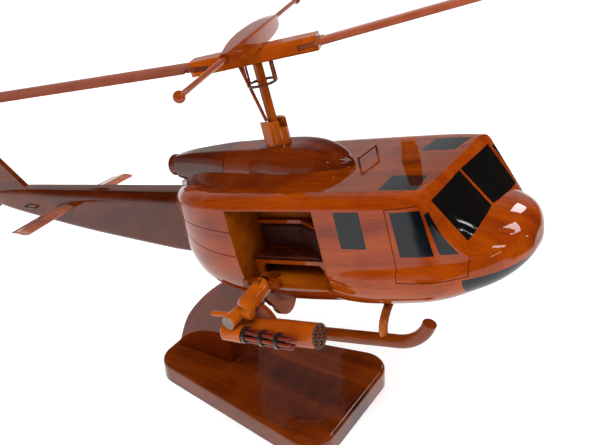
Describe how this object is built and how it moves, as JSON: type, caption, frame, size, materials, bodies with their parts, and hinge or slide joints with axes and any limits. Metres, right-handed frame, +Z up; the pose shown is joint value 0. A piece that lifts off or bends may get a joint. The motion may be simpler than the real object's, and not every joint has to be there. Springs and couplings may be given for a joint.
{
  "type": "helicopter scale model",
  "caption": "Gloss mahogany desk model of a military utility helicopter with turning rotors, side guns and rocket pods, fixed on a leaning wooden stand.",
  "frame": {"origin": "centre of the underside of the stand's base board", "axes": "+Z up from the table, +X towards the helicopter's nose end, +Y towards the helicopter's left side"},
  "size_m": [0.3901, 0.1594, 0.2256],
  "materials": {
    "body_wood": "clear gloss lacquer over red-brown mahogany",
    "stand_wood": "clear gloss lacquer over dark mahogany",
    "skid_wood": "clear gloss lacquer over mahogany",
    "window_black": "polished black",
    "quilted_leather": "soft sheen, stitched",
    "brass_tips": "polished",
    "black_metal": "gloss black paint",
    "screw_steel": "plain",
    "red_barrel": "dark red gloss lacquer"
  },
  "bodies": {
    "airframe_and_stand": {"bench_back_pad_left": "quilted_leather", "bench_back_pad_right": "quilted_leather", "bench_frame_left": "body_wood", "bench_frame_right": "body_wood", "bench_seat_pad_left": "quilted_leather", "bench_seat_pad_right": "quilted_leather", "boom_hand_loops": "black_metal", "cabin_side_windows": "window_black", "chin_windows": "window_black", "cowl_band": "body_wood", "crew_door_windows": "window_black", "crew_quarter_windows": "window_black", "cross_tube_front": "skid_wood", "cross_tube_rear": "skid_wood", "engine_cowl": "body_wood", "exhaust_pipe": "body_wood", "front_cowl": "body_wood", "fuselage_body": "body_wood", "gun_barrel_rings": "black_metal", "gun_barrels_left": "red_barrel", "gun_barrels_right": "red_barrel", "gun_body_left": "body_wood", "gun_body_right": "body_wood", "landing_skid_left": "skid_wood", "landing_skid_right": "skid_wood", "mast_block": "body_wood", "pod_pylons": "body_wood", "rocket_pod_left": "body_wood", "rocket_pod_right": "body_wood", "rocket_tips": "brass_tips", "roof_antenna_blade": "black_metal", "roof_fairing": "body_wood", "roof_hand_loop": "black_metal", "roof_windows": "window_black", "rotor_mast": "black_metal", "stabilizer_left": "body_wood", "stabilizer_right": "body_wood", "stand_base": "stand_wood", "stand_screws": "screw_steel", "stand_upright": "stand_wood", "tail_boom": "body_wood", "tail_fin": "body_wood", "tail_rotor_shaft": "black_metal", "tail_skid": "body_wood", "weapon_arm_left": "body_wood", "weapon_arm_right": "body_wood", "weapon_brackets": "body_wood", "windscreen_panes": "window_black"},
    "main_rotor": {"rotor_yoke": "body_wood", "rotor_blade_front": "body_wood", "rotor_blade_rear": "body_wood", "stabilizer_bar_block": "body_wood", "stabilizer_bar_arms": "body_wood", "swashplate_ring": "black_metal", "pitch_links": "body_wood", "control_rod": "body_wood"},
    "tail_rotor": {"tail_rotor_hub": "body_wood", "tail_rotor_blades": "body_wood"}
  },
  "joints": [
    {"name": "main_rotor_spin", "type": "hinge", "parent": "airframe_and_stand", "child": "main_rotor", "pos_m": [0.01862, 0, 0.14966], "axis": [-0.2041, -0.0263, 0.9786], "continuous": true},
    {"name": "tail_rotor_spin", "type": "hinge", "parent": "airframe_and_stand", "child": "tail_rotor", "pos_m": [-0.20462, 0.0077, 0.10865], "axis": [0, 1, 0], "continuous": true}
  ]
}
